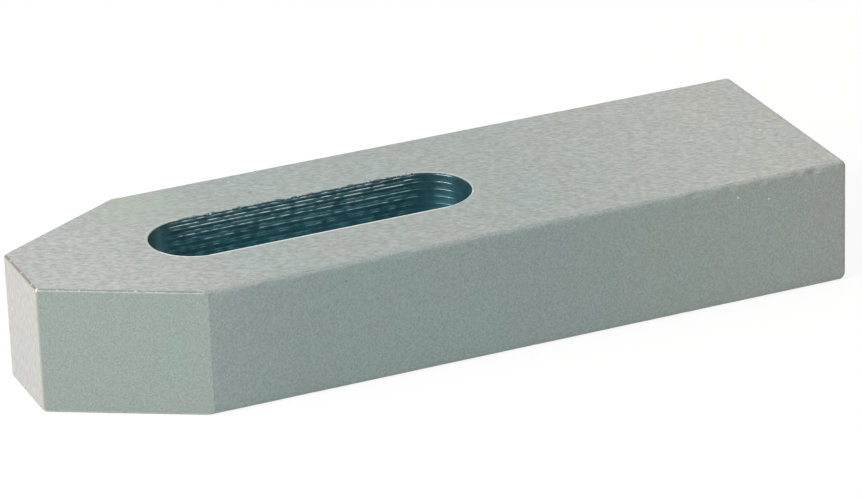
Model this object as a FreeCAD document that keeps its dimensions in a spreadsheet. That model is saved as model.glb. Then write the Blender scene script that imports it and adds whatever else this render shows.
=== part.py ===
"""Plain strap clamp: a flat steel bar with a tapered nose and one long slot for an M16 stud.

The bar lies flat on z = 0 with its length along Y and the nose towards -Y.
"""
import FreeCAD, Part
import math
import os
import Sketcher

V = FreeCAD.Vector

doc = FreeCAD.newDocument("strap_clamp")

# Driving dimensions, in millimetres and degrees. Each one can be changed by itself.
sheet = doc.addObject("Spreadsheet::Sheet", "Dimensions")
DIMENSIONS = [
    ("bar_length", 160, "nose face to sawn rear end"),
    ("bar_width", 50, "across the two long sides"),
    ("bar_thickness", 25, "underside to top"),
    ("nose_width", 18, "flat of the nose that bears on the workpiece"),
    ("taper_angle", 30, "each tapered cheek, measured from the bar's axis"),
    ("slot_width", 18, "clearance for the clamping stud"),
    ("slot_length", 65, "over the two round ends"),
    ("slot_start", 26, "nose face to the near end of the slot"),
    ("long_edge_round", 1.0, "rounding that the rolled bar carries along its edges"),
    ("rear_edge_round", 1.4, "rounding of the sawn end after tumbling"),
    ("nose_edge_break", 0.4, "edge break on the milled nose and cheeks"),
    ("rim_chamfer", 0.25, "edge break round the slot, both faces"),
    ("lap_depth", 1.5, "step down of the slot cutter between laps"),
    ("lap_crest", 0.3, "crest of full slot width left between two laps"),
    ("lap_hollow", 0.12, "how deep each lap wanders into the wall"),
]
for row, (alias, value, note) in enumerate(DIMENSIONS, start=1):
    sheet.set("A%d" % row, alias)
    sheet.set("B%d" % row, "%g" % value)
    sheet.set("C%d" % row, note)
    sheet.setAlias("B%d" % row, alias)
doc.recompute()


def new_sketch(body, name, role):
    """A sketch on one of the body's own origin planes."""
    plane = next(f for f in body.Origin.OriginFeatures if f.Role == role)
    sketch = body.newObject("Sketcher::SketchObject", name)
    sketch.AttachmentSupport = [(plane, "")]
    sketch.MapMode = "FlatFace"
    return sketch


def drive(sketch, name, constraint, expression):
    """Add a named constraint and bind it to the spreadsheet."""
    index = sketch.addConstraint(constraint)
    sketch.renameConstraint(index, name)
    sketch.setExpression("Constraints." + name, expression)


def edge_names(feature, keep):
    """Names of the edges whose every point passes the test, apart from those shrunk to a point."""
    names = []
    for number, edge in enumerate(feature.Shape.Edges, start=1):
        if not edge.Degenerated and all(keep(point) for point in edge.discretize(5)):
            names.append("Edge%d" % number)
    if not names:
        raise RuntimeError("no edge found on " + feature.Name)
    return names


def near(one, other):
    return abs(one - other) < 1e-4


body = doc.addObject("PartDesign::Body", "clamp_bar")
body.Label = "clamp_bar"

# Plan of the bar: nose, two cheeks, two long sides and the sawn end, symmetrical about Y.
outline = new_sketch(body, "Outline", "XY_Plane")
half_nose, half_width = sheet.nose_width / 2, sheet.bar_width / 2
nose_y, rear_y = -sheet.bar_length / 2, sheet.bar_length / 2
shoulder_y = nose_y + (half_width - half_nose) * 1.7
corners = [V(-half_nose, nose_y), V(half_nose, nose_y), V(half_width, shoulder_y),
           V(half_width, rear_y), V(-half_width, rear_y), V(-half_width, shoulder_y)]
for corner, following in zip(corners, corners[1:] + corners[:1]):
    outline.addGeometry(Part.LineSegment(corner, following))
NOSE, RIGHT_CHEEK, RIGHT_SIDE, REAR, LEFT_SIDE, LEFT_CHEEK = range(6)
for side in range(6):
    outline.addConstraint(Sketcher.Constraint("Coincident", side, 2, (side + 1) % 6, 1))
outline.addConstraint(Sketcher.Constraint("Vertical", RIGHT_SIDE))
outline.addConstraint(Sketcher.Constraint("Vertical", LEFT_SIDE))
outline.addConstraint(Sketcher.Constraint("Symmetric", NOSE, 1, NOSE, 2, -2))
outline.addConstraint(Sketcher.Constraint("Symmetric", REAR, 1, REAR, 2, -2))
outline.addConstraint(Sketcher.Constraint("Equal", LEFT_CHEEK, RIGHT_CHEEK))
drive(outline, "nose", Sketcher.Constraint("DistanceX", NOSE, 1, NOSE, 2, 2 * half_nose),
      "Dimensions.nose_width")
drive(outline, "width", Sketcher.Constraint("DistanceX", REAR, 2, REAR, 1, 2 * half_width),
      "Dimensions.bar_width")
drive(outline, "length", Sketcher.Constraint("DistanceY", NOSE, 1, REAR, 1, rear_y - nose_y),
      "Dimensions.bar_length")
drive(outline, "centring", Sketcher.Constraint("DistanceY", -1, 1, REAR, 1, rear_y),
      "Dimensions.bar_length / 2")
drive(outline, "cheek_run",
      Sketcher.Constraint("DistanceY", RIGHT_CHEEK, 1, RIGHT_CHEEK, 2, shoulder_y - nose_y),
      "(Dimensions.bar_width - Dimensions.nose_width) / 2 / tan(Dimensions.taper_angle * 1 deg)")

bar = body.newObject("PartDesign::Pad", "Bar")
bar.Profile = outline
bar.setExpression("Length", "Dimensions.bar_thickness")
doc.recompute()

# The slot is milled right through, with a half circle of its own width at each end.
slot_plan = new_sketch(body, "SlotPlan", "XY_Plane")
radius = sheet.slot_width / 2
near_y = nose_y + sheet.slot_start + radius
far_y = near_y + sheet.slot_length - sheet.slot_width
slot_plan.addGeometry(Part.ArcOfCircle(Part.Circle(V(0, near_y), V(0, 0, 1), radius), math.pi, 2 * math.pi))
slot_plan.addGeometry(Part.LineSegment(V(radius, near_y), V(radius, far_y)))
slot_plan.addGeometry(Part.ArcOfCircle(Part.Circle(V(0, far_y), V(0, 0, 1), radius), 0, math.pi))
slot_plan.addGeometry(Part.LineSegment(V(-radius, far_y), V(-radius, near_y)))
NEAR_END, RIGHT_WALL, FAR_END, LEFT_WALL = range(4)
for piece in range(4):
    slot_plan.addConstraint(Sketcher.Constraint("Tangent", piece, 2, (piece + 1) % 4, 1))
slot_plan.addConstraint(Sketcher.Constraint("PointOnObject", NEAR_END, 3, -2))
slot_plan.addConstraint(Sketcher.Constraint("PointOnObject", FAR_END, 3, -2))
drive(slot_plan, "end_radius", Sketcher.Constraint("Radius", NEAR_END, radius),
      "Dimensions.slot_width / 2")
drive(slot_plan, "travel", Sketcher.Constraint("DistanceY", NEAR_END, 3, FAR_END, 3, far_y - near_y),
      "Dimensions.slot_length - Dimensions.slot_width")
drive(slot_plan, "near_centre", Sketcher.Constraint("DistanceY", NEAR_END, 3, -1, 1, -near_y),
      "Dimensions.bar_length / 2 - Dimensions.slot_start - Dimensions.slot_width / 2")
doc.recompute()

before = bar.Shape.Volume
slot = body.newObject("PartDesign::Pocket", "Slot")
slot.Profile = slot_plan
slot.Type = "ThroughAll"
slot.Reversed = True
doc.recompute()
if not slot.Shape.Volume < before:
    raise RuntimeError("the slot cut nothing")

# Edge breaks. The top and bottom faces carry the same ones.
thickness = sheet.bar_thickness
shoulder_y = max(v.Y for v in outline.Shape.Vertexes if v.Y < rear_y - 1e-4)


def on_a_face(p):
    return near(p.z, 0) or near(p.z, thickness)


def in_the_slot(p):
    return near_y - radius - 1e-4 < p.y < far_y + radius + 1e-4 and abs(p.x) < radius + 1e-4


nose_break = body.newObject("PartDesign::Chamfer", "NoseBreak")
nose_break.Base = (slot, edge_names(slot, lambda p: on_a_face(p) and p.y < shoulder_y + 1e-4
                                    and not in_the_slot(p)))
nose_break.setExpression("Size", "Dimensions.nose_edge_break")
doc.recompute()

long_round = body.newObject("PartDesign::Fillet", "LongRound")
long_round.Base = (nose_break, edge_names(nose_break, lambda p: on_a_face(p)
                                          and near(abs(p.x), half_width)))
long_round.setExpression("Radius", "Dimensions.long_edge_round")
doc.recompute()

rear_round = body.newObject("PartDesign::Fillet", "RearRound")
rear_round.Base = (long_round, edge_names(long_round, lambda p: near(p.y, rear_y)))
rear_round.setExpression("Radius", "Dimensions.rear_edge_round")
doc.recompute()

rim_break = body.newObject("PartDesign::Chamfer", "RimBreak")
rim_break.Base = (rear_round, edge_names(rear_round, lambda p: on_a_face(p) and in_the_slot(p)))
rim_break.setExpression("Size", "Dimensions.rim_chamfer")
doc.recompute()

# The cutter goes round the slot once for each step down. Every lap leaves a shallow hollow in the
# wall, and the crests between the hollows keep the slot's full width.
lap = new_sketch(body, "LapProfile", "XZ_Plane")
lap.setExpression("AttachmentOffset.Base.z",
                  "Dimensions.bar_length / 2 - Dimensions.slot_start - Dimensions.slot_length / 2")
half_lap = (sheet.lap_depth - sheet.lap_crest) / 2
lap_z = thickness - sheet.lap_depth / 2
inside, wall = radius / 2, radius
lap.addGeometry(Part.Arc(V(wall, lap_z - half_lap), V(wall + sheet.lap_hollow, lap_z),
                         V(wall, lap_z + half_lap)))
lap.addGeometry(Part.LineSegment(V(wall, lap_z + half_lap), V(inside, lap_z + half_lap)))
lap.addGeometry(Part.LineSegment(V(inside, lap_z + half_lap), V(inside, lap_z - half_lap)))
lap.addGeometry(Part.LineSegment(V(inside, lap_z - half_lap), V(wall, lap_z - half_lap)))
HOLLOW, UPPER, INNER, LOWER = range(4)
for piece in range(4):
    lap.addConstraint(Sketcher.Constraint("Coincident", piece, 2, (piece + 1) % 4, 1))
lap.addConstraint(Sketcher.Constraint("Horizontal", UPPER))
lap.addConstraint(Sketcher.Constraint("Vertical", INNER))
lap.addConstraint(Sketcher.Constraint("Horizontal", LOWER))
lap.addConstraint(Sketcher.Constraint("Vertical", HOLLOW, 1, HOLLOW, 2))
drive(lap, "wall", Sketcher.Constraint("DistanceX", -1, 1, HOLLOW, 1, wall),
      "Dimensions.slot_width / 2")
drive(lap, "inside", Sketcher.Constraint("DistanceX", -1, 1, INNER, 1, inside),
      "Dimensions.slot_width / 4")
drive(lap, "foot", Sketcher.Constraint("DistanceY", -1, 1, HOLLOW, 1, lap_z - half_lap),
      "Dimensions.bar_thickness - Dimensions.lap_depth + Dimensions.lap_crest / 2")
drive(lap, "rise", Sketcher.Constraint("DistanceY", INNER, 2, INNER, 1, 2 * half_lap),
      "Dimensions.lap_depth - Dimensions.lap_crest")
drive(lap, "sweep", Sketcher.Constraint("Radius", HOLLOW, 1),
      "(((Dimensions.lap_depth - Dimensions.lap_crest) / 2) ^ 2 + Dimensions.lap_hollow ^ 2)"
      " / (2 * Dimensions.lap_hollow)")
doc.recompute()

before = rim_break.Shape.Volume
first_lap = body.newObject("PartDesign::SubtractivePipe", "FirstLap")
first_lap.Profile = lap
first_lap.Spine = (slot_plan, ["Edge%d" % (piece + 1) for piece in range(4)])
first_lap.Mode = "Frenet"
doc.recompute()
if not 0 < before - first_lap.Shape.Volume < 0.01 * before:
    raise RuntimeError("the first lap is not a shallow cut")

laps = body.newObject("PartDesign::LinearPattern", "Laps")
laps.Originals = [first_lap]
laps.Direction = (next(f for f in body.Origin.OriginFeatures if f.Role == "Z_Axis"), [""])
laps.Reversed = True
laps.Mode = "Spacing"
laps.setExpression("Offset", "Dimensions.lap_depth")
laps.setExpression("Occurrences", "floor(Dimensions.bar_thickness / Dimensions.lap_depth)")
body.Tip = laps
body.Placement = FreeCAD.Placement(V(0, 0, 0), FreeCAD.Rotation())
doc.recompute()

for item in doc.Objects:
    if "Invalid" in item.State or "Error" in item.State:
        raise RuntimeError("failed: " + item.Name)
if body.Shape.isNull() or not body.Shape.isValid() or len(body.Shape.Solids) != 1:
    raise RuntimeError("clamp_bar is not one valid solid")

os.makedirs("parts", exist_ok=True)
body.Shape.exportStep(os.path.join("parts", body.Label + ".step"))
box = body.Shape.optimalBoundingBox(True, False)
print("clamp_bar %.1f x %.1f x %.1f mm, %.0f mm3, %d faces"
      % (box.XLength, box.YLength, box.ZLength, body.Shape.Volume, len(body.Shape.Faces)))
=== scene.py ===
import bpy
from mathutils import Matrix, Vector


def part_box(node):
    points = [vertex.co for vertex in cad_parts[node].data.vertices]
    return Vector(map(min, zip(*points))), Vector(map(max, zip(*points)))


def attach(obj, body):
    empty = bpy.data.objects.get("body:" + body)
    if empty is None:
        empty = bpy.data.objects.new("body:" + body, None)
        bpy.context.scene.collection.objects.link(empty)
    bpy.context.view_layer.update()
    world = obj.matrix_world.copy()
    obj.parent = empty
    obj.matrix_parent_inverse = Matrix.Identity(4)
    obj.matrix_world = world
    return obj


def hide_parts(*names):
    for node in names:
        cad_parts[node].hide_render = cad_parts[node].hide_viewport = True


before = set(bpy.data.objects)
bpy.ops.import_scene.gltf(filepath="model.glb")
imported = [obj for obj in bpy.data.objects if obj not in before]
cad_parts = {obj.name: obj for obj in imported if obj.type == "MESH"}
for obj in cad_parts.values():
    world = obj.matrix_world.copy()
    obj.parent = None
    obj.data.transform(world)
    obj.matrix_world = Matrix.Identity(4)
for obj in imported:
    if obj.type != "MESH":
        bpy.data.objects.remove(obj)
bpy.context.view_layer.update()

import math
import bmesh
import bpy
from mathutils import Matrix, Vector, noise

# ---------------------------------------------------------------------------------------------
# The bar. A length of rolled flat steel, sawn square at the heel and milled to a blunt nose, then
# sprayed grey-green all over. Rolling leaves the long edges rounded, tumbling softens the sawn
# heel, and the milled nose keeps crisp edges.
# ---------------------------------------------------------------------------------------------
MM = 0.001    # sizes and places here are in millimetres, and Blender's are in metres
low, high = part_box("clamp_bar")
half_width, thickness = high.x / MM, high.z / MM
nose_y, heel_y, mid_z = low.y / MM, high.y / MM, thickness / 2
half_nose, cheek_lean = 9.0, math.radians(30)
long_round, heel_round, nose_break = 1.0, 1.4, 0.4
nose_corner_round, shoulder_round = 0.45, 0.5
sharpest_corner = 0.02    # the heel's upright corners come nearly to a point at the flat faces

# dents all along the rounded edges: size, how much flatter than long, share left even, depth
small_dents, broad_dents = (2.6, 2, 0.28, 0.55), (9, 1, 0.1, 0.3)
# knocks along the upper right edge: place along the bar, half length, depth
knocks = [(72.6, 1.1, 0.8), (69.0, 0.8, 0.35), (61.5, 0.8, 0.25), (55.0, 1.2, 0.2),
          (47.0, 1.0, 0.22), (38.5, 0.7, 0.16), (-51.0, 1.0, 0.25), (-49.0, 0.5, 0.2)]
dent_slant = 0.7    # a dent goes in at 45 degrees: this share of it inward and the same share down


def drawn_in(depth, radius):
    """How far a rounded edge has drawn the wall in, at this depth below the flat face."""
    if depth >= radius:
        return 0.0
    return radius - math.sqrt(radius * radius - (radius - depth) ** 2)


def wander(x, y, z, size):
    """Smooth unevenness from -1 to 1, in lumps about size millimetres across."""
    return noise.noise(Vector((x, y, z)) / size)


def round_corner(before, corner, after, radius, steps):
    """Points of the arc that rounds one corner of an outline."""
    back, ahead = (before - corner).normalized(), (after - corner).normalized()
    half = back.angle(ahead) / 2
    middle = corner + (back + ahead).normalized() * (radius / math.sin(half))
    start = corner + back * (radius / math.tan(half))
    turn = 1 if back.x * ahead.y - back.y * ahead.x < 0 else -1
    sweep = turn * (math.pi - 2 * half)
    spokes = [Matrix.Rotation(sweep * i / steps, 2) @ (start - middle) for i in range(steps + 1)]
    return [middle + spoke for spoke in spokes]


def bar_outline(depth):
    """The bar's plan at this depth below the nearer flat face, anticlockwise from the left nose
    corner. Each point comes with the name of the stretch of skin that it starts."""
    lean = math.tan(cheek_lean)
    side = half_width - drawn_in(depth, long_round)
    nose = nose_y + drawn_in(depth, nose_break)
    heel = heel_y - drawn_in(depth, heel_round)
    cheek_in = drawn_in(depth, nose_break) / math.cos(cheek_lean)
    nose_x = half_nose - cheek_in + (nose - nose_y) * lean
    shoulder = nose_y + (side - half_nose + cheek_in) / lean
    heel_corner = max(sharpest_corner, heel_round - drawn_in(depth, heel_round))
    # each corner, with its radius and the number of faces round it
    corners = [(Vector((-nose_x, nose)), nose_corner_round, 4),
               (Vector((nose_x, nose)), nose_corner_round, 4),
               (Vector((side, shoulder)), shoulder_round, 5),
               (Vector((side, heel)), heel_corner, 8),
               (Vector((-side, heel)), heel_corner, 8),
               (Vector((-side, shoulder)), shoulder_round, 5)]
    turns = ["crisp corner", "crisp corner", "shoulder", "heel corner", "heel corner", "shoulder"]
    # the straight run after each corner, with the number of faces along it
    runs = [("nose", 22), ("cheek", 46), ("side", 220), ("heel", 46), ("side", 220), ("cheek", 46)]
    arcs = []
    for i, (corner, radius, steps) in enumerate(corners):
        before, after = corners[i - 1][0], corners[(i + 1) % len(corners)][0]
        arcs.append(round_corner(before, corner, after, radius, steps))
    points = []
    for arc, next_arc, turn, (run, count) in zip(arcs, arcs[1:] + arcs[:1], turns, runs):
        points += [(p, turn) for p in arc[:-1]]
        points += [(arc[-1].lerp(next_arc[0], k / count), run) for k in range(count)]
    return points


def edge_dent(x, y, z, depth):
    """How far the rounded edges are dented here. They are never quite even, and have taken knocks."""
    dent = 0.0
    for size, flatter, even, deep in (small_dents, broad_dents):
        dent += max(0.0, wander(x, y, z * flatter, size) - even) * deep
    if x > 0 and z > mid_z:
        dent += sum(deep * math.exp(-((y - place) / half) ** 2) for place, half, deep in knocks)
    return dent_slant * dent * math.sin(math.pi * min(1.0, depth / heel_round))


# The skin is a stack of level outlines, close together round the edges and wider apart between.
edge_depths = [0, .012, .04, .08, .13, .19, .26, .33, .4, .5, .62, .76, .9, 1.0, 1.2, 1.4]
side_depths = [2.2, 3.6, 5.6, 8, 10.4]
upper_levels = [(thickness - depth, depth) for depth in edge_depths + side_depths]
lower_levels = [(depth, depth) for z, depth in reversed(upper_levels)]
skin_levels = upper_levels + [(mid_z, mid_z)] + lower_levels
# the finishes, numbered in the order in which the mesh gets them
FLAT, SIDE, CHEEK, NOSE, HEEL, NOSE_LINE, CHEEK_LINE, UPRIGHT, WALL, RIM_HIGHLIGHT, RAGGED, SOFT = range(12)
skin_finishes = {"nose": NOSE, "cheek": CHEEK, "crisp corner": UPRIGHT, "shoulder": SIDE,
                 "side": SIDE, "heel corner": HEEL, "heel": HEEL}
edge_finishes = {**skin_finishes, "nose": NOSE_LINE, "cheek": CHEEK_LINE}

clamp = bmesh.new()
skin = []
for z, depth in skin_levels:
    ring = []
    for p, stretch in bar_outline(depth):
        dent = 0.0
        if depth < heel_round and stretch in ("side", "shoulder", "heel corner"):
            dent = edge_dent(p.x, p.y, z, depth)
        x = p.x - math.copysign(dent, p.x)
        down = math.copysign(dent, z - mid_z)
        ring.append((clamp.verts.new((x * MM, p.y * MM, (z - down) * MM)), stretch))
    skin.append(ring)
depths = [depth for z, depth in skin_levels]
for upper, lower, depth, next_depth in zip(skin, skin[1:], depths, depths[1:]):
    finishes = edge_finishes if min(depth, next_depth) < nose_break else skin_finishes
    for i, (corner, stretch) in enumerate(upper):
        j = (i + 1) % len(upper)
        face = clamp.faces.new((corner, lower[i][0], lower[j][0], upper[j][0]))
        face.smooth = True
        face.material_index = finishes[stretch]


def linear(hex_colour):
    """An sRGB hex colour as the linear colour that shaders use."""
    parts = [int(hex_colour[i:i + 2], 16) / 255 for i in (1, 3, 5)]
    return [c / 12.92 if c <= 0.04045 else ((c + 0.055) / 1.055) ** 2.4 for c in parts] + [1.0]


def new_material(name):
    """An empty node material."""
    material = bpy.data.materials.new(name)
    material.use_nodes = True
    material.node_tree.nodes.clear()
    return material


def add(material, kind, links=None, **settings):
    """Add a node: settings are its properties, sockets its input values by name; links join sockets."""
    node = material.node_tree.nodes.new(kind)
    sockets = settings.pop("sockets", {})
    for name, value in settings.items():
        setattr(node, name, value)
    for name, value in sockets.items():
        node.inputs[name].default_value = value
    for name, source in (links or {}).items():
        material.node_tree.links.new(source, node.inputs[name])
    return node


usual_noise = {"From Min": 0.3, "From Max": 0.7}    # nearly all of a noise's values lie in here
nose_light_pool = {"From Min": nose_y + 8, "From Max": nose_y + 50}    # the nose end's tone, paler as a painted pool of light, gives way to the middle's
heel_light_pool = {"From Min": 10, "From Max": heel_y - 8}    # the middle's tone gives way to the heel end's, paler as a painted pool of light
scuff_slope = 0.9    # how far the skin faces up, from 0 to 1, where the scuffed line runs


def sprayed_lacquer(name, tones, upward_lit_tones=None, grain=(0.5, 0.5, 0.5), skew=0, contrast=0.2,
                    peel_depth=0.12, stain=None, specks=()):
    """Spray lacquer, a dull film over the steel. Its orange peel is soft lumps of the grain's size,
    bumped, and painted light and dark by the contrast as painted shade. Its three tones drift from nose
    to heel, paler at the ends as painted pools of light, and upward_lit_tones gives the three that it
    changes to where it folds over onto a flat face, painted lighter as light falling from above."""
    coat = new_material(name)
    place = add(coat, "ShaderNodeTexCoord")
    mm = add(coat, "ShaderNodeVectorMath", {0: place.outputs["Object"]}, operation="SCALE",
             sockets={"Scale": 1 / MM}).outputs[0]
    along = add(coat, "ShaderNodeSeparateXYZ", {0: mm}).outputs["Y"]
    past_nose = add(coat, "ShaderNodeMapRange", {"Value": along}, interpolation_type="SMOOTHSTEP",
                    sockets=nose_light_pool).outputs[0]
    to_heel = add(coat, "ShaderNodeMapRange", {"Value": along}, interpolation_type="SMOOTHSTEP",
                  sockets=heel_light_pool).outputs[0]
    drifts = []
    for nose_tone, middle_tone, heel_tone in [tones] + ([upward_lit_tones] if upward_lit_tones else []):
        front = add(coat, "ShaderNodeMix", {0: past_nose}, data_type="RGBA",
                    sockets={6: linear(nose_tone), 7: linear(middle_tone)}).outputs[2]
        drifts.append(add(coat, "ShaderNodeMix", {0: to_heel, 6: front}, data_type="RGBA",
                          sockets={7: linear(heel_tone)}).outputs[2])
    tone = drifts[0]
    if upward_lit_tones:
        # painted light from above: where a face turns up onto a flat face it takes the paler tones, along
        # a line that wavers in lumps 2.5 mm across
        upward = add(coat, "ShaderNodeSeparateXYZ", {0: place.outputs["Normal"]}).outputs["Z"]
        upward = add(coat, "ShaderNodeMath", {0: upward}, operation="ABSOLUTE").outputs[0]
        top_light_waver = add(coat, "ShaderNodeTexNoise", {"Vector": mm},
                  sockets={"Scale": 0.4, "Detail": 2}).outputs["Fac"]
        ragged = add(coat, "ShaderNodeMath", {0: top_light_waver, 2: upward}, operation="MULTIPLY_ADD",
                     sockets={1: 0.8}).outputs[0]
        painted_top_light = add(coat, "ShaderNodeMapRange", {"Value": ragged},
                   sockets={"From Min": 0.8, "From Max": 1.3}).outputs[0]
        tone = add(coat, "ShaderNodeMix", {0: painted_top_light, 6: drifts[0], 7: drifts[1]},
                   data_type="RGBA").outputs[2]
        # a thin scuffed line, broken every millimetre or so, where the rounded edge meets the flat
        off_line = add(coat, "ShaderNodeMath", {0: upward}, operation="SUBTRACT",
                       sockets={1: scuff_slope}).outputs[0]
        off_line = add(coat, "ShaderNodeMath", {0: off_line}, operation="ABSOLUTE").outputs[0]
        scuff = add(coat, "ShaderNodeMapRange", {"Value": off_line},
                    sockets={"From Min": 0.08, "From Max": 0.03}).outputs[0]
        breaks = add(coat, "ShaderNodeTexNoise", {"Vector": mm},
                     sockets={"Scale": 0.9, "Detail": 2}).outputs["Fac"]
        breaks = add(coat, "ShaderNodeMapRange", {"Value": breaks},
                     sockets={"From Min": 0.4, "From Max": 0.65, "To Max": 0.75}).outputs[0]
        scuff = add(coat, "ShaderNodeMath", {0: scuff, 1: breaks}, operation="MULTIPLY").outputs[0]
        tone = add(coat, "ShaderNodeMix", {0: scuff, 6: tone}, data_type="RGBA",
                   sockets={7: linear("#878E8A")}).outputs[2]
    # clouds about 15 mm across, from faintly warm to faintly cool
    cloud = add(coat, "ShaderNodeTexNoise", {"Vector": mm},
                sockets={"Scale": 0.065, "Detail": 3, "Roughness": 0.6}).outputs["Fac"]
    cloud = add(coat, "ShaderNodeMapRange", {"Value": cloud},
                sockets={"From Min": 0.38, "From Max": 0.62}).outputs[0]
    tint = add(coat, "ShaderNodeMix", {0: cloud}, data_type="RGBA",
               sockets={6: linear("#FFFDFC"), 7: linear("#FBFEFF")}).outputs[2]
    tone = add(coat, "ShaderNodeVectorMath", {0: tone, 1: tint}, operation="MULTIPLY").outputs[0]
    # orange peel, in lumps of the grain's size, skewed by the way that the spray gun passed; the lumps are
    # bumped and also painted lighter and darker as painted shade
    lumps = add(coat, "ShaderNodeMapping", {"Vector": mm}, vector_type="TEXTURE",
                sockets={"Rotation": (0, 0, math.radians(skew)), "Scale": grain}).outputs[0]
    peel = add(coat, "ShaderNodeTexNoise", {"Vector": lumps},
               sockets={"Scale": 1, "Detail": 3, "Roughness": 0.6}).outputs["Fac"]
    shade = add(coat, "ShaderNodeMapRange", {"Value": peel},
                sockets={**usual_noise, "To Min": 1 - contrast, "To Max": 1 + contrast}).outputs[0]
    tone = add(coat, "ShaderNodeVectorMath", {0: tone, 1: shade}, operation="MULTIPLY").outputs[0]
    if stain:
        # blots about 1.4 mm across, fading out with distance
        middle, reach, colour = stain
        away = add(coat, "ShaderNodeVectorMath", {0: mm}, operation="DISTANCE", sockets={1: middle})
        near = add(coat, "ShaderNodeMapRange", {"Value": away.outputs["Value"]},
                   sockets={"From Min": reach, "From Max": reach / 3}).outputs[0]
        blot = add(coat, "ShaderNodeTexNoise", {"Vector": mm},
                   sockets={"Scale": 0.7, "Detail": 5}).outputs["Fac"]
        blot = add(coat, "ShaderNodeMapRange", {"Value": blot},
                   sockets={"From Min": 0.4, "From Max": 0.65}).outputs[0]
        share = add(coat, "ShaderNodeMath", {0: near, 1: blot}, operation="MULTIPLY").outputs[0]
        tone = add(coat, "ShaderNodeMix", {0: share, 6: tone}, data_type="RGBA",
                   sockets={7: linear(colour)}).outputs[2]
    for middle, radius, colour in specks:
        away = add(coat, "ShaderNodeVectorMath", {0: mm}, operation="DISTANCE", sockets={1: middle})
        speck = add(coat, "ShaderNodeMath", {0: away.outputs["Value"]}, operation="LESS_THAN",
                    sockets={1: radius}).outputs[0]
        tone = add(coat, "ShaderNodeMix", {0: speck, 6: tone}, data_type="RGBA",
                   sockets={7: linear(colour)}).outputs[2]
    bump = add(coat, "ShaderNodeBump", {"Height": peel},
               sockets={"Strength": 1, "Distance": peel_depth * MM}).outputs[0]
    surface = add(coat, "ShaderNodeBsdfPrincipled", {"Base Color": tone, "Normal": bump},
                  sockets={"Roughness": 0.5, "IOR": 1.5})
    add(coat, "ShaderNodeOutputMaterial", {"Surface": surface.outputs[0]})
    return coat


def millimetres_deep(material, mm):
    """How many millimetres a point lies from the nearer flat face."""
    height = add(material, "ShaderNodeSeparateXYZ", {0: mm}).outputs["Z"]
    off_middle = add(material, "ShaderNodeMath", {0: height}, operation="SUBTRACT",
                     sockets={1: mid_z}).outputs[0]
    off_middle = add(material, "ShaderNodeMath", {0: off_middle}, operation="ABSOLUTE").outputs[0]
    return add(material, "ShaderNodeMath", {1: off_middle}, operation="SUBTRACT",
               sockets={0: mid_z}).outputs[0]


def worn_and_lit_edge(name, upper, lower, split, wobble, fleck):
    """A fine line of two tones along a lacquered edge, partly wear and chips and partly painted light
    and shade. The upper gives way to the lower at the split's depth, which wavers up and down in waves
    1.7 mm long, and flecks two thirds of a millimetre across are scattered on both."""
    edge = new_material(name)
    place = add(edge, "ShaderNodeTexCoord").outputs["Object"]
    mm = add(edge, "ShaderNodeVectorMath", {0: place}, operation="SCALE",
             sockets={"Scale": 1 / MM}).outputs[0]
    waves = add(edge, "ShaderNodeTexNoise", {"Vector": mm},
                sockets={"Scale": 0.6, "Detail": 2}).outputs["Fac"]
    waves = add(edge, "ShaderNodeMapRange", {"Value": waves},
                sockets={**usual_noise, "To Min": -wobble, "To Max": wobble}).outputs[0]
    depth = add(edge, "ShaderNodeMath", {0: millimetres_deep(edge, mm), 1: waves},
                operation="ADD").outputs[0]
    below = add(edge, "ShaderNodeMapRange", {"Value": depth},
                sockets={"From Min": split - 0.04, "From Max": split + 0.04}).outputs[0]
    tone = add(edge, "ShaderNodeMix", {0: below}, data_type="RGBA",
               sockets={6: linear(upper), 7: linear(lower)}).outputs[2]
    flecks = add(edge, "ShaderNodeTexNoise", {"Vector": mm},
                 sockets={"Scale": 1.5, "Detail": 2}).outputs["Fac"]
    flecks = add(edge, "ShaderNodeMapRange", {"Value": flecks},
                 sockets={"From Min": 0.6, "From Max": 0.66}).outputs[0]
    tone = add(edge, "ShaderNodeMix", {0: flecks, 6: tone}, data_type="RGBA",
               sockets={7: linear(fleck)}).outputs[2]
    surface = add(edge, "ShaderNodeBsdfPrincipled", {"Base Color": tone},
                  sockets={"Roughness": 0.42, "IOR": 1.5})
    add(edge, "ShaderNodeOutputMaterial", {"Surface": surface.outputs[0]})
    return edge


# The flat rolled faces show the most orange peel, drawn out along the spray gun's passes. The top has
# a greenish stain by its left shoulder and a few specks of grit: place, radius, colour.
# the top's tones at the nose, the middle and the heel: the two ends are paler as painted pools of light
flat_tones = ("#BBC0BE", "#AAB3B0", "#BBBEB8")
flat_finish = sprayed_lacquer(
    "lacquer on rolled steel", flat_tones, grain=(0.6, 1.3, 0.6), skew=-23, contrast=0.23,
    peel_depth=0.22, stain=((-19, -51, thickness), 13, "#B1BFAC"),
    specks=[((3.0, 72.3, thickness), 0.3, "#D2D6CE"), ((-21.6, -29.9, thickness), 0.25, "#CFD3CB"),
            ((-14.9, -28.1, thickness), 0.4, "#8F9690"), ((8.0, 34.0, thickness), 0.3, "#B3A26A")])
# The sides have a finer peel, and the right one has two light and two dark specks. Their tones, darker and
# bluer than the top's, are painted shade, and they turn to the top's paler tones where they face upward,
# painted light from above.
side_finish = sprayed_lacquer(
    "lacquer on the rolled sides", ("#A8B7B6", "#9AABA9", "#A7B1AA"), upward_lit_tones=flat_tones,
    grain=(0.34, 0.34, 0.34), contrast=0.2,
    specks=[((half_width, 56.3, 22.0), 0.25, "#D6DAD2"), ((half_width, 62.9, 20.5), 0.22, "#D6DAD2"),
            ((half_width, -25.0, 21.5), 0.22, "#798683"), ((half_width, -18.7, 16.7), 0.18, "#7C8885")])
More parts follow.
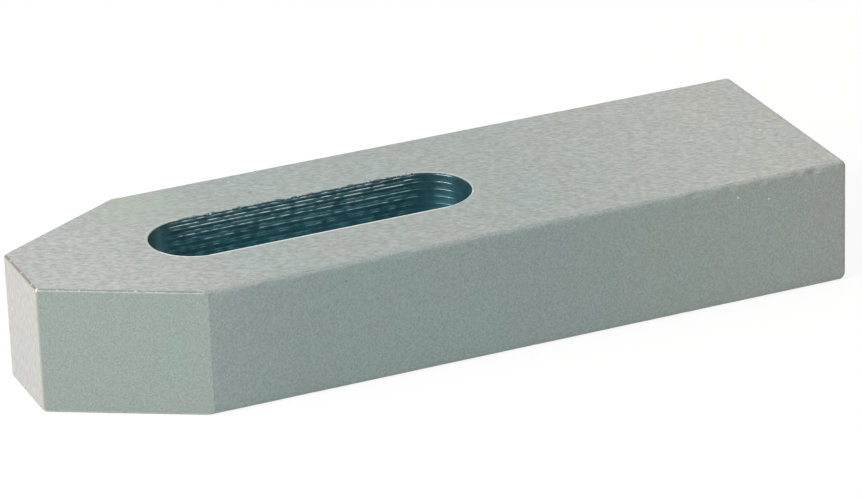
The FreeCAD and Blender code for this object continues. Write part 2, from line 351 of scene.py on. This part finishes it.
# The milled cheeks are as fine, darker and greener than the top as painted shade. The milled nose is
# paler, painted light on the face toward the nose softbox, and its lumps are drawn out downwards.
cheek_finish = sprayed_lacquer("lacquer on milled cheeks", ("#9DACA7", "#9BABA6", "#9DACA7"),
                               grain=(0.34, 0.34, 0.34), contrast=0.19)
nose_finish = sprayed_lacquer("lacquer on the milled nose", ("#C0C2BF",) * 3,
                              grain=(0.5, 0.5, 1.6), contrast=0.2)
# The sawn heel has taken on a brownish cast, and its lumps are drawn out downwards too. It turns to the
# top's paler tones where it faces upward, painted light from above.
heel_finish = sprayed_lacquer("lacquer on sawn steel", ("#AAB0A2",) * 3, upward_lit_tones=flat_tones,
                              grain=(0.5, 0.5, 1.0), contrast=0.17, peel_depth=0.15)
# The crisp edges show as fine lines: brownish across the nose; along the cheeks dark over pale, a painted
# shade over a painted highlight, with worn flecks; and at the tips of the nose's upright edges a nearly
# white painted highlight.
nose_line = worn_and_lit_edge("brownish line along the nose edge", "#8B857C", "#9F998F", 0.2, 0.1, "#C9C8C2")
cheek_line = worn_and_lit_edge("painted shade over highlight along the worn cheek edge", "#8E9591", "#BDC2BD", 0.2, 0.1, "#C3C9C4")
upright_line = worn_and_lit_edge("painted highlight on the upright nose edges", "#E9EBE6", "#ADB1A8",
                           0.5, 0.15, "#A4A69C")

# ---------------------------------------------------------------------------------------------
# The stud slot. It is milled right through the bar in laps, each a step further down, so its wall is
# a stack of shallow hollows with small ledges between. The cutter chatters on the straight runs, so
# the ledges come and go there. One long rim carries a painted highlight, and the other is ragged.
# ---------------------------------------------------------------------------------------------
slot_radius, slot_length, slot_start = 9.0, 65.0, 26.0
near_centre = nose_y + slot_start + slot_radius
far_centre = near_centre + slot_length - 2 * slot_radius
lap_depth, lap_hollow, rim_round = 1.5, 0.2, 0.25
laps = int(thickness / lap_depth)
# A place on the wall is given by how far round it lies: up the right side from the near end, round
# the far end, back down the left side, and round the near end.
straight, half_round = far_centre - near_centre, math.pi * slot_radius
left_start, near_start = straight + half_round, 2 * straight + half_round
straight_steps, round_steps = 150, 56

# one lap of the wall: share of the lap's depth, and share of the hollow reached there. The deep ledge
# is the cutter's way out at 0.29 to 0.4, the shallow one its way back at 0.83 to 0.91.
lap_profile = [(0.0, 0.0), (0.06, 0.8), (0.29, 1.0), (0.4, 0.0), (0.5, 0.42), (0.83, 0.4), (0.91, 0.0)]
DEEP_LEDGE, SHALLOW_LEDGE = 2, 5
fine_ledge = 0.06    # how much of a lap shorter the deep ledge is on the round ends
rim_clearance = 0.03    # no step of a lap comes nearer than this to a rim

# chatter marks, as shares of the hollow: the faintest, and how much stronger they get
faintest, swing = 0.34, 0.76
mark_length, mark_shift = 1.5, 0.9    # each row's marks lie a little further along than the last
mark_start, mark_rise = -0.3, 0.55    # where in the unevenness a mark starts, and its full rise
roughening, rough_length = 0.5, 0.8    # a finer unevenness on top of the marks
fading, fade_start, fade_length = 0.65, 1.5, 6    # the share lost further in, from where, over how far
first_lap = (0.6, 1.9)    # the rim blunts the first deep ledge, and the shallow one stands out more
run_out = 3    # the chatter dies away over this much of each round end
# the round ends are nearly smooth: a trace of each ledge, and one snag on the far end
far_trace, near_trace = 0.07, 0.03
snag_place, snag_reach, snag_depth = straight + 0.74 * half_round, 1.7, 0.3

# the ragged rim: how far down it goes, its burrs that stand in or out, and the chips off its top
ragged_depth = 1.2
burr, burr_length, burr_seed = 0.12, 1.3, 11.0
chip, chip_length, unchipped, chip_seed = 0.28, 1.7, 0.05, 23.0
highlight_from, highlight_to = near_start + 0.62 * half_round, straight + 0.34 * half_round
ragged_from = straight + 0.93 * half_round
# how far the rim's finish runs out over a flat face: the least, and how much more in most places
least_band, more_band = 0.05, 0.3


def slot_path(s, out):
    """A point of the slot's outline, or this far out from it: s is how far round it lies."""
    r = slot_radius + out
    left = s >= left_start
    if left:
        s -= left_start
    if s < straight:
        x, y = r, s - straight / 2
    else:
        a = (s - straight) / slot_radius
        x, y = r * math.cos(a), straight / 2 + r * math.sin(a)
    middle = (near_centre + far_centre) / 2
    return (-x, middle - y) if left else (x, middle + y)


def on_straight(s):
    """1 on the two straight runs of the slot, falling to 0 as its round ends begin."""
    s %= left_start
    return max(0.0, 1 - max(0.0, min(s - straight, left_start - s)) / run_out)


def chatter(s, lap, shallow):
    """How strongly the cutter marked one ledge of a lap, as a share of the hollow."""
    row = 2 * lap + shallow    # each row of marks reads its own stretch of the unevenness
    mark = (wander(s + mark_shift * row, row * 1.9, 3.0, mark_length) - mark_start) / mark_rise
    strength = faintest + swing * min(1.0, max(0.0, mark))
    strength *= 1 + roughening * wander(s, row * 5.0, 9.0, rough_length)
    if lap == 0:
        strength *= first_lap[shallow]
    depth = (lap + 0.5) * lap_depth
    faded = max(0.0, min(depth, thickness - depth) - fade_start) / fade_length
    return strength * (1 - fading * min(1.0, faded))


def wall_out(s, lap, step, share):
    """How far the milled wall lies outside the slot's nominal outline at one step of a lap."""
    shallow = step > DEEP_LEDGE
    trace = far_trace if s < left_start else near_trace
    snag = 0.0 if shallow else snag_depth * math.exp(-((s - snag_place) / snag_reach) ** 2)
    run = on_straight(s)
    return lap_hollow * share * (run * chatter(s, lap, shallow) + (1 - run) * (trace + snag))


def rim_finish(s):
    """A painted highlight up the right side and about a third of each end, ragged down the left, else
    soft.
    """
    if s < highlight_to or s > highlight_from:
        return RIM_HIGHLIGHT
    return RAGGED if ragged_from < s < near_start else SOFT


def band_edge(z):
    """The line on a flat face where the rim's finish ends: close in round the far end only."""
    ring = []
    for s in slot_steps:
        band = least_band + more_band * (on_straight(s) if s < left_start else 1)
        x, y = slot_path(s, rim_round + band)
        ring.append(clamp.verts.new((x * MM, y * MM, z * MM)))
    return ring


slot_steps = []
for start in (0.0, left_start):
    slot_steps += [start + straight * k / straight_steps for k in range(straight_steps)]
    slot_steps += [start + straight + half_round * k / round_steps for k in range(round_steps)]
# every level of the wall: its depth, and if it belongs to a lap, the lap, the step and its share
rim_levels = [(depth, None) for depth in (0.0, 0.01, 0.035, 0.08, 0.15, rim_round)]
slot_levels = list(rim_levels)
for lap in range(laps):
    for step, (down, share) in enumerate(lap_profile):
        depth = (lap + down) * lap_depth
        if rim_round + rim_clearance < depth < thickness - rim_round - rim_clearance:
            slot_levels.append((depth, (lap, step, share)))
slot_levels += [(thickness - depth, milled) for depth, milled in reversed(rim_levels)]

slot_skin = [band_edge(thickness)]
for depth, milled in slot_levels:
    from_face = min(depth, thickness - depth)
    ring = []
    for s in slot_steps:
        out = drawn_in(from_face, rim_round) + (wall_out(s, *milled) if milled else 0.0)
        chipped = 0.0
        if from_face < ragged_depth and s > straight:
            raggedness = on_straight(s) * (1 - from_face / ragged_depth)
            out += raggedness * burr * wander(s, burr_seed, depth * 0.6, burr_length)
            chipped = wander(s, chip_seed, 0.0, chip_length) - unchipped
            chipped = raggedness * chip * max(0.0, chipped)
        x, y = slot_path(s, out)
        down = depth + math.copysign(chipped, mid_z - depth)
        if milled and milled[1] == DEEP_LEDGE + 1:
            down -= fine_ledge * lap_depth * (1 - on_straight(s))
        ring.append(clamp.verts.new((x * MM, y * MM, (thickness - down) * MM)))
    slot_skin.append(ring)
slot_skin.append(band_edge(0))
# each band of faces is named for the level at its top; the two bands on the flat faces have none
bands = [None] + [milled for depth, milled in slot_levels]
depths = [0.0] + [min(depth, thickness - depth) for depth, milled in slot_levels] + [0.0]
for upper, lower, milled, depth, next_depth in zip(slot_skin, slot_skin[1:], bands, depths, depths[1:]):
    ledge = milled is not None and milled[1] in (DEEP_LEDGE, SHALLOW_LEDGE)
    for i, s in enumerate(slot_steps):
        j = (i + 1) % len(slot_steps)
        face = clamp.faces.new((upper[i], upper[j], lower[j], lower[i]))
        face.smooth = not ledge
        face.material_index = rim_finish(s) if max(depth, next_depth) <= rim_round else WALL

# The two flat faces close the skin round the slot.
for outer, inner in ((skin[0], slot_skin[0]), (skin[-1], slot_skin[-1])):
    loops = []
    for ring in ([vertex for vertex, stretch in outer], inner):
        for a, b in zip(ring, ring[1:] + ring[:1]):
            loops.append(clamp.edges.get((a, b)))
    filled = bmesh.ops.triangle_fill(clamp, use_beauty=True, use_dissolve=False, edges=loops)
    for item in filled["geom"]:
        if isinstance(item, bmesh.types.BMFace):
            item.smooth = True
            item.material_index = FLAT

same_point = 0.004 * MM    # two points of the skin that lie closer than this are one
bmesh.ops.remove_doubles(clamp, verts=clamp.verts, dist=same_point)
bmesh.ops.recalc_face_normals(clamp, faces=clamp.faces)
mesh = bpy.data.meshes.new("clamp_bar_finished")
clamp.to_mesh(mesh)
clamp.free()
bar = bpy.data.objects.new("clamp_bar_finished", mesh)
bpy.context.collection.objects.link(bar)
shading = bar.modifiers.new("flat faces stay flat", "WEIGHTED_NORMAL")
shading.mode, shading.weight, shading.keep_sharp = "FACE_AREA", 80, True

# The wall is milled after hardening: steel under a thin blue-green film, bluer further in, with
# smears about 2 mm across. The film takes away part of the metal's shine. Where the wall faces
# upward, on the ledges, it is painted pale as painted glints, most of all near the mouths, fading further
# in as painted shade.
wall = new_material("milled steel, blue-green film")
place = add(wall, "ShaderNodeTexCoord")
mm = add(wall, "ShaderNodeVectorMath", {0: place.outputs["Object"]}, operation="SCALE",
         sockets={"Scale": 1 / MM}).outputs[0]
deep = millimetres_deep(wall, mm)
further_in = add(wall, "ShaderNodeMapRange", {"Value": deep},
                 sockets={"From Min": 1, "From Max": 8}).outputs[0]
film = add(wall, "ShaderNodeMix", {0: further_in}, data_type="RGBA",
           sockets={6: linear("#416C74"), 7: linear("#3F7883")}).outputs[2]
smears = add(wall, "ShaderNodeTexNoise", {"Vector": mm},
             sockets={"Scale": 0.5, "Detail": 4, "Roughness": 0.65}).outputs["Fac"]
smears = add(wall, "ShaderNodeMapRange", {"Value": smears},
             sockets={**usual_noise, "To Min": 0.8, "To Max": 1.2}).outputs[0]
film = add(wall, "ShaderNodeVectorMath", {0: film, 1: smears}, operation="MULTIPLY").outputs[0]
upward = add(wall, "ShaderNodeSeparateXYZ", {0: place.outputs["Normal"]}).outputs["Z"]
upward = add(wall, "ShaderNodeMath", {0: upward}, operation="ABSOLUTE").outputs[0]
# painted glints on the upward ledge faces, fading with depth as painted shade
ledge_glint_mask = add(wall, "ShaderNodeMapRange", {"Value": upward},
               sockets={"From Min": 0.42, "From Max": 0.8}).outputs[0]
glint_fade_with_depth = add(wall, "ShaderNodeMapRange", {"Value": deep},
                 sockets={"From Min": 1, "From Max": 7, "To Min": 1, "To Max": 0.15}).outputs[0]
painted_glint = add(wall, "ShaderNodeMath", {0: ledge_glint_mask, 1: glint_fade_with_depth}, operation="MULTIPLY").outputs[0]
tone = add(wall, "ShaderNodeMix", {0: painted_glint, 6: film}, data_type="RGBA",
           sockets={7: linear("#CCE0E0")}).outputs[2]
surface = add(wall, "ShaderNodeBsdfPrincipled", {"Base Color": tone},
              sockets={"Roughness": 0.36, "Metallic": 0.6})
add(wall, "ShaderNodeOutputMaterial", {"Surface": surface.outputs[0]})
# The rims: a painted highlight along the right; down the left, chipped lacquer over a dark band that is
# partly chips and partly painted shade under the rim; elsewhere a paler band of painted soft light.
rim_highlight = worn_and_lit_edge("painted highlight along the right rim", "#EDEFEC", "#A9B5B4",
                         0.12, 0.05, "#CDD3D0")
ragged_rim = worn_and_lit_edge("chipped rim with painted shade below", "#A9B1AD", "#36575C", 0.06, 0.08, "#C3CCC8")
soft_rim = worn_and_lit_edge("painted soft light over the rim", "#C0C8BE", "#5F7F84", 0.12, 0.04, "#AEB8B0")

# The bar and its slot are one piece of steel.
for finish in (flat_finish, side_finish, cheek_finish, nose_finish, heel_finish, nose_line,
               cheek_line, upright_line, wall, rim_highlight, ragged_rim, soft_rim):
    mesh.materials.append(finish)
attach(bar, "root")
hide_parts("clamp_bar")

# ---------------------------------------------------------------------------------------------
# The studio: a white paper sweep under the clamp, softboxes over the nose and overhead,
# and an even white room for fill.
# ---------------------------------------------------------------------------------------------
sweep_reach = 6    # metres from the clamp to each edge of the sweep
sweep_gap = 0.05 * MM    # a hair of air under the clamp keeps the two faces apart
sweep_corners = [(x * sweep_reach, y * sweep_reach, 0) for x, y in ((-1, -1), (1, -1), (1, 1), (-1, 1))]
floor_mesh = bpy.data.meshes.new("studio_floor")
floor_mesh.from_pydata(sweep_corners, [], [(0, 1, 2, 3)])
floor = bpy.data.objects.new("studio_floor", floor_mesh)
bpy.context.collection.objects.link(floor)
floor.location.z = low.z - sweep_gap


def seen_share(material):
    """1 for rays that show a surface to the eye, straight, mirrored or through glass; 0 for its light."""
    ray = add(material, "ShaderNodeLightPath")
    mirrored = add(material, "ShaderNodeMath",
                   {0: ray.outputs["Is Camera Ray"], 1: ray.outputs["Is Glossy Ray"]}, operation="ADD")
    return add(material, "ShaderNodeMath", {0: mirrored.outputs[0], 1: ray.outputs["Is Transmission Ray"]},
               operation="ADD", use_clamp=True).outputs[0]


# White paper. A fifth of what the eye sees is the lit paper, which keeps the clamp's shadow.
sweep = new_material("white studio sweep")
bright = add(sweep, "ShaderNodeMath", {0: seen_share(sweep)}, operation="MULTIPLY",
             sockets={1: 0.8}).outputs[0]
paper = add(sweep, "ShaderNodeBsdfDiffuse", sockets={"Color": linear("#E7E7E7")})
glow = add(sweep, "ShaderNodeEmission", sockets={"Color": linear("#FFFFFF"), "Strength": 1.09})
mix = add(sweep, "ShaderNodeMixShader", {0: bright, 1: paper.outputs[0], 2: glow.outputs[0]})
add(sweep, "ShaderNodeOutputMaterial", {"Surface": mix.outputs[0]})
floor_mesh.materials.append(sweep)

room = bpy.data.worlds.new("white studio room")
bpy.context.scene.world = room
room.use_nodes = True
room.node_tree.nodes.clear()
fill = add(room, "ShaderNodeBackground", sockets={"Color": linear("#FFFFFF"), "Strength": 0.45})
white = add(room, "ShaderNodeBackground", sockets={"Color": linear("#FFFFFF"), "Strength": 1.0})
mix = add(room, "ShaderNodeMixShader", {0: seen_share(room), 1: fill.outputs[0], 2: white.outputs[0]})
add(room, "ShaderNodeOutputWorld", {"Surface": mix.outputs[0]})

softbox_aim = Vector((0, 0, 12)) * MM    # the middle of the clamp


def softbox(name, place, size, watts, colour):
    """A rectangular softbox aimed at the clamp. Its place and size are in metres."""
    lamp = bpy.data.lights.new(name, "AREA")
    lamp.shape, lamp.energy, lamp.color = "RECTANGLE", watts, colour
    lamp.size, lamp.size_y = size
    box = bpy.data.objects.new(name, lamp)
    box.location = place
    box.rotation_mode = "QUATERNION"
    box.rotation_quaternion = (softbox_aim - Vector(place)).to_track_quat("-Z", "Y")
    bpy.context.collection.objects.link(box)


softbox("softbox over the nose", (0.2, -0.93, 0.62), (0.8, 0.6), 9.0, (1.0, 0.95, 0.92))
softbox("softbox overhead", (-0.25, 0.25, 1.1), (0.9, 0.9), 1.5, (1, 1, 1))

# ---------------------------------------------------------------------------------------------
# The camera: a long lens, from the nose's right and a little above.
# ---------------------------------------------------------------------------------------------
azimuth, elevation, roll = math.radians(67.142), math.radians(23.757), math.radians(-1.987)
aim, distance = Vector((0.65, 2.52, 12.68)) * MM, 912.16 * MM
back = Vector((math.sin(azimuth) * math.cos(elevation), -math.cos(azimuth) * math.cos(elevation),
               math.sin(elevation)))
lens = bpy.data.cameras.new("camera")
lens.sensor_width, lens.lens = 36.0, 198.228
lens.clip_start, lens.clip_end = 0.05, 20
camera = bpy.data.objects.new("camera", lens)
camera.location = aim + back * distance
camera.rotation_mode = "QUATERNION"
camera.rotation_quaternion = (-back).to_track_quat("-Z", "Y")
camera.rotation_quaternion = camera.rotation_quaternion @ Matrix.Rotation(roll, 3, "Z").to_quaternion()
bpy.context.collection.objects.link(camera)
bpy.context.scene.camera = camera
bpy.context.scene.view_settings.view_transform = "Standard"
